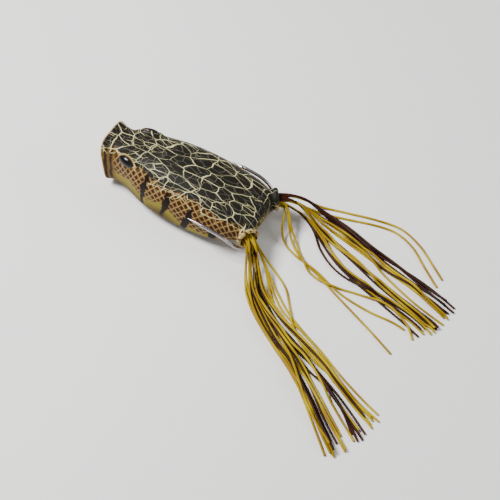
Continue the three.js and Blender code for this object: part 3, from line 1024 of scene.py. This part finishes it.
def make_weight():
    """The cast keel, its edges rounded as a casting's are."""
    weight = keel_form("keel_casting", 0.0)
    channel = plain_box("channel", (KEEL["rear"] - 1, -1.72, 2.68), (KEEL["front"] + 1, 1.72, 4.72))
    combine(weight, [channel], "DIFFERENCE")
    bevel = weight.modifiers.new("bevel", "BEVEL")
    bevel.width = 0.35 * MM
    bevel.segments = 4
    bevel.limit_method = "ANGLE"
    bevel.angle_limit = math.radians(30)
    apply_modifiers(weight)
    finish_surface(weight, cast_lead(), sharp=35)
    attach(weight, ROOT)
    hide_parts("belly_weight")


# -------- skirt

STRAND = 0.86          # thickness of one silicone strand
TUBE_PITCH = 1.7       # spacing of the places where groups of strands leave a sleeve
TUCKED = 1.6           # how far a strand starts inside its sleeve
SAG = 0.55             # how far the strands sink to the bottom of their sleeve
FLOOR_GAP = 0.03       # kept under and between strands at rest
PRESSED = 0.06         # how far strands may press into each other
WAIST_SPREAD = 1.4     # how far a strand may drift sideways at the bundle's waist
TIP_SPREAD = 2.8       # and at its tip
STRAY = 0.25           # share of that drift for a strand that leaves on its own
ROUTE_POINTS = 38      # points of a finished strand
FINE_POINTS = 241      # points while it is laid out
TRIM = 16              # the most fine points cut off a strand's end
MOST_CORDS = 40        # the first this many strands have their length measured

# Each group of strands: the CAD tube that stands for it, its place in the sleeve, the colours of
# its strands, and the route that they follow.
LEFT_LOWER = [
    ("left_strands_outer", (1, 0), "yyy", [
     (-34.5, 15.5, 8), (-37.2, 21, 3.6), (-42, 28, 1.2), (-50.5, 35.4, 0.9), (-60.4, 42.2, 0.9),
     (-70.6, 48.4, 0.9), (-80.8, 56.2, 0.9), (-91.4, 65, 0.9), (-101, 73.2, 0.9)]),
    ("left_strands_outer_mid", (0.5, -0.87), "ymmy", [
     (-35.4, 14.5, 6.4), (-38.7, 19.6, 2.7), (-43.7, 26.2, 1), (-51.9, 33.4, 0.9), (-62, 39.6, 0.9),
     (-72.7, 45.2, 0.9), (-83.4, 52.6, 0.9), (-94.4, 61, 0.9), (-104.2, 69, 0.9)]),
    ("left_strands_inner_mid", (-0.5, -0.87), "mmym", [
     (-36.7, 13.4, 6.4), (-40.4, 18.2, 2.6), (-45.3, 24.6, 1), (-53.5, 31.2, 0.9), (-63.8, 36.6, 0.9),
     (-74.9, 41.6, 0.9), (-86.2, 47.8, 0.9), (-97.4, 54.4, 0.9), (-107.4, 60.4, 0.9)]),
    ("left_strands_inner", (-1, 0), "yyy", [
     (-38.2, 12.4, 7.4), (-43.5, 16.2, 3.4), (-49, 21.6, 1), (-56, 28, 0.9), (-66, 33, 0.9),
     (-77.2, 37.2, 0.9), (-88.4, 42, 0.9), (-99.4, 46.4, 0.9), (-109.4, 50, 0.9)]),
    ("left_strands_inner", (-1.1, 0.3), "y", [
     (-37, 11, 7.6), (-41, 12, 3.8), (-46.8, 14, 1.2), (-52.6, 17.9, 0.9), (-57.4, 24.2, 0.9),
     (-61.6, 30.6, 0.9), (-68.2, 36.6, 0.9), (-77, 41.4, 0.9), (-85.5, 44.2, 0.9)]),
]
LEFT_UPPER = [
    ("left_strands_top_outer", (0.5, 0.87), "yymy", [
     (-35.2, 14.8, 10.1), (-38.2, 20, 5.9), (-43, 26.9, 2.6), (-51.2, 34.4, 2.5), (-61.2, 40.9, 2.5),
     (-71.6, 46.8, 2.5), (-82.1, 54.4, 2.1), (-92.9, 63, 1.8), (-102.4, 70.9, 1.6)]),
    ("left_strands_top_middle", (0, 0), "mymy", [
     (-36, 14, 8.6), (-39.5, 19, 5), (-44.5, 25.5, 2.6), (-52.7, 32.3, 2.5), (-62.9, 38.1, 2.5),
     (-73.8, 43.4, 2.5), (-84.9, 50.2, 2.3), (-96, 57.8, 1.8), (-105.6, 64.6, 0.9)]),
    ("left_strands_top_inner", (-0.5, 0.87), "yymy", [
     (-37, 13.2, 10.1), (-40.9, 18, 5.8), (-46.2, 24, 2.7), (-54.6, 29.9, 2.6), (-64.8, 34.9, 2.5),
     (-76, 39.4, 2.5), (-87.2, 45, 2.2), (-98.4, 50.4, 1.5), (-108.4, 55.2, 0.9)]),
]
RIGHT_LOWER = [
    ("right_strands_outer", (1, 0), "y", [
     (-36.4, -16.4, 8.2), (-41.5, -20.4, 3.8), (-48.5, -23.2, 1.2), (-57.5, -25.6, 0.9), (-67, -27.8, 0.9),
     (-77, -28.6, 0.9), (-86.5, -25, 0.9), (-95.5, -18.6, 0.9), (-103, -13, 0.9)]),
    ("right_strands_outer_mid", (0.5, -0.87), "y", [
     (-36.7, -15, 6.6), (-42, -18.2, 2.7), (-49.5, -20.4, 1), (-58, -22.4, 0.9), (-67, -24.6, 0.9),
     (-76, -25.4, 0.9), (-84.5, -22.4, 0.9), (-92.5, -16.2, 0.9), (-101, -9.6, 0.9)]),
    ("right_strands_inner_mid", (-0.5, -0.87), "mymmy", [
     (-37, -12.8, 6.4), (-42.4, -14, 2.6), (-48.8, -11.2, 1), (-56.4, -5, 0.9), (-65, -0.2, 0.9),
     (-74.4, 2.8, 0.9), (-86.4, 5.6, 0.9), (-98.2, 8.8, 0.9), (-107.8, 12.4, 0.9)]),
    ("right_strands_inner", (-1, 0), "y", [
     (-37, -10.6, 8.4), (-40.2, -6.6, 4.6), (-44.8, -1.6, 1.4), (-52, 3, 0.9), (-61.5, 7, 0.9),
     (-71, 11.5, 0.9), (-81, 16, 0.9), (-91, 20.5, 0.9), (-99.5, 24.5, 0.9)]),
    ("right_strands_inner", (-1.3, -0.5), "y", [
     (-37.2, -8.6, 7.6), (-38.4, -4.6, 4.2), (-41.6, -0.6, 1.2), (-48.8, 2.8, 0.9), (-59.8, 5.9, 0.9),
     (-71.6, 10, 0.9), (-83.7, 11.6, 0.9), (-94.1, 11.6, 0.9), (-103.3, 13.4, 0.9)]),
    ("right_strands_inner", (-1, 0.6), "y", [
     (-38.4, -9.4, 8), (-41.6, -5.6, 4.4), (-45.8, -2.2, 1.4), (-50, 2.2, 0.9), (-56.6, 7.2, 0.9),
     (-65.4, 9, 0.9), (-76, 7.4, 0.9), (-89, 6.6, 0.9), (-98.6, 10.6, 0.9), (-104.6, 16.4, 0.9)]),
]
RIGHT_UPPER = [
    ("right_strands_top_outer", (0.5, 0.87), "mmmmm", [
     (-38, -15.9, 10.1), (-43.8, -18.4, 6.2), (-51, -18.6, 3), (-59.5, -17.2, 1.2), (-68.5, -14.6, 0.9),
     (-79.5, -11.4, 0.9), (-91, -8.4, 0.9), (-102, -5.6, 0.9), (-111.5, -3, 0.9)]),
    ("right_strands_top_middle", (0, 0), "yymyy", [
     (-37.6, -14.3, 8.6), (-43.2, -16.5, 4.6), (-50.8, -16.2, 2.7), (-59.5, -14.4, 2.4), (-68.8, -11.8, 1.2),
     (-79.5, -8, 0.9), (-91, -4.4, 0.9), (-101.5, -0.6, 0.9), (-110.5, 2.6, 0.9)]),
    ("right_strands_top_inner", (-0.5, 0.87), "mmmyy", [
     (-38.4, -13.2, 10.3), (-44.5, -13.6, 6.6), (-51.5, -12, 3.6), (-59.5, -9, 1.4), (-68.8, -5.6, 0.9),
     (-79.2, -1.8, 0.9), (-90, 1.6, 0.9), (-100.6, 4.6, 0.9), (-109.8, 7.8, 0.9)]),
]
LEGS = [
    (LEFT_LOWER, 1, "left_leg"),
    (LEFT_UPPER, 1, "left_leg_top"),
    (RIGHT_LOWER, -1, "right_leg"),
    (RIGHT_UPPER, -1, "right_leg_top"),
]


def ring_place(index, count):
    """Where a strand lies in the section of its group: across and up from the middle."""
    if count == 1:
        return 0.0, 0.0
    reach = 0.47 * STRAND / math.sin(math.pi / count)
    turn = 2 * math.pi * (index + 0.25) / count
    return reach * math.cos(turn), reach * math.sin(turn)


def strand_way(side, slot, run, place, draw, loose):
    """A strand's course seen from above, with the height at which it would fall to the floor."""
    across = slot[0] * TUBE_PITCH + place[0]
    up = slot[1] * TUBE_PITCH - SAG + place[1]
    base = [in_sleeve(side, behind, across, up) for behind in (TUCKED, -0.2, -1.8)]
    line = through([*base, *run], FINE_POINTS)
    headings = np.gradient(line, axis=0)[:, :2]
    headings /= np.linalg.norm(headings, axis=1)[:, None]
    sideways = np.stack([-headings[:, 1], headings[:, 0]], 1)
    share = np.linspace(0, 1, len(line))
    waist = draw.uniform(-WAIST_SPREAD, WAIST_SPREAD)
    tip = draw.uniform(-TIP_SPREAD, TIP_SPREAD)
    offset = waist + (tip - waist) * smoothstep(share, 0.40, 0.95)
    for _ in range(2):
        rate = draw.uniform(0.6, 1.9)
        phase = draw.uniform(0, 2 * math.pi)
        size = draw.uniform(0.2, 0.8)
        offset += size * np.sin(2 * math.pi * rate * share + phase)
    line[:, :2] += sideways * (loose * offset * smoothstep(share, 0.08, 0.36))[:, None]
    line[:, 2] *= 1 - smoothstep(share, 0.16, 0.34)
    return line


def lay_down(line, laid):
    """Rests a strand on the floor and, clear of its sleeve, on the strands laid before it."""
    floor = STRAND / 2 + FLOOR_GAP
    need = np.full(len(line), floor)
    clear = smoothstep(np.linspace(0, 1, len(line)), 0.14, 0.32)
    if laid:
        others = np.concatenate(laid)
        for i, place in enumerate(line):
            off = np.hypot(others[:, 0] - place[0], others[:, 1] - place[1])
            near = off < STRAND
            if near.any():
                over = others[near, 2] + np.sqrt(STRAND ** 2 - off[near] ** 2)
                need[i] += clear[i] * max(0.0, over.max() - floor)
    height = np.maximum(line[:, 2], need)
    for _ in range(60):
        height[1:-1] = (height[:-2] + 2 * height[1:-1] + height[2:]) / 4
        height = np.maximum(height, need - PRESSED)
    line[:, 2] = np.maximum(height, floor)
    return line


def every_strand(draw):
    """Each strand's name, node, body, colour and route, from the bottom of each leg to its top."""
    laid = {1: [], -1: []}
    numbers = {}
    for groups, side, body in LEGS:
        for node, slot, colors, run in groups:
            loose = 1.0 if len(colors) > 1 else STRAY
            for index, color in enumerate(colors):
                place = ring_place(index, len(colors))
                way = strand_way(side, slot, run, place, draw, loose)
                way = lay_down(way[:len(way) - draw.randrange(TRIM)], laid[side])
                laid[side].append(way)
                numbers[node] = numbers.get(node, 0) + 1
                picked = np.linspace(0, len(way) - 1, ROUTE_POINTS).round().astype(int)
                yield f"{node}_{numbers[node]}", node, body, color, way[picked]


def strand_object(name, line, material):
    data = bpy.data.curves.new(name, "CURVE")
    data.dimensions = "3D"
    data.bevel_depth = STRAND / 2 * MM
    data.bevel_resolution = 2
    data.use_fill_caps = True
    spline = data.splines.new("POLY")
    spline.points.add(len(line) - 1)
    for point, place in zip(spline.points, line):
        point.co = (*(place * MM), 1)
    data.materials.append(material)
    return new_object(name, data)


def make_strands():
    materials = {
        "y": silicone("yellow_strand_silicone", (0.39, 0.285, 0.0003), (0.235, 0.140, 0.0003)),
        "m": silicone("maroon_strand_silicone", (0.038, 0.010, 0.0045), (0.016, 0.004, 0.002)),
    }
    for number, (name, node, body, color, line) in enumerate(every_strand(random.Random(11))):
        strand = strand_object(f"strand_{name}", line, materials[color])
        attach(strand, body)
        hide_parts(node)
        if number < MOST_CORDS:
            length = float(np.linalg.norm(np.diff(line, axis=0), axis=1).sum())


def make_core():
    """The middle of the skirt: the same strands, side by side, crossing the tail."""
    left = [in_sleeve(1, behind) for behind in (2.2, 5, 7.4, 9.4)]
    right = [Vector((p.x, -p.y, p.z)) for p in reversed(left)]
    crossing = [Vector((-23, 3.2, 10)), Vector((-22.4, 0, 10)), Vector((-23, -3.2, 10))]
    line = through([*left, *crossing, *right], 60)
    tangents = np.gradient(line, axis=0)
    points, faces = [], []
    radius, sides = 0.4, 8
    for ring_radius, number in ((0.0, 1), (0.84, 6), (1.62, 12)):
        for turn in turns(number):
            rings = []
            for place, tangent in zip(line, tangents):
                level = Vector((-tangent[1], tangent[0], 0)).normalized()
                outward = level * math.cos(turn) + Vector((0, 0, math.sin(turn)))
                middle = Vector(place) + ring_radius * outward
                rings.append([
                    middle + radius * (level * math.cos(a) + Vector((0, 0, math.sin(a))))
                    for a in turns(sides)
                ])
            start = len(points)
            points += [point for ring in rings for point in ring]
            faces += [tuple(start + i for i in face) for face in ring_faces(len(rings), sides)]
    core = facing_out(mesh_object("tied_strands", points, faces))
    finish_surface(core, bpy.data.materials["maroon_strand_silicone"], sharp=60)
    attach(core, ROOT)
    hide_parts("skirt_core")


def make_bands():
    material = black_rubber()
    for name, side in SIDES:
        radius, middle, half_length, thick = 2.675, 8.15, 0.75, 0.27
        outline = []
        for turn in turns(16):
            outline.append((
                radius + thick * signed_power(math.cos(turn), 0.6),
                middle + half_length * signed_power(math.sin(turn), 0.6),
            ))
        band = turned(f"{name}_band", outline, 48, lambda a, b, d, s=side: in_sleeve(s, d, a, b))
        finish_surface(band, material, sharp=60)
        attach(band, ROOT)
        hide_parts(f"{name}_skirt_band")


# -------- the scene


def main():
    bpy.ops.wm.read_factory_settings(use_empty=True)
    make_camera()
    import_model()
    make_strands()
    make_lights()
    make_floor()
    make_body()
    make_hook()
    make_eyes()
    make_weight()
    make_core()
    make_bands()


main()
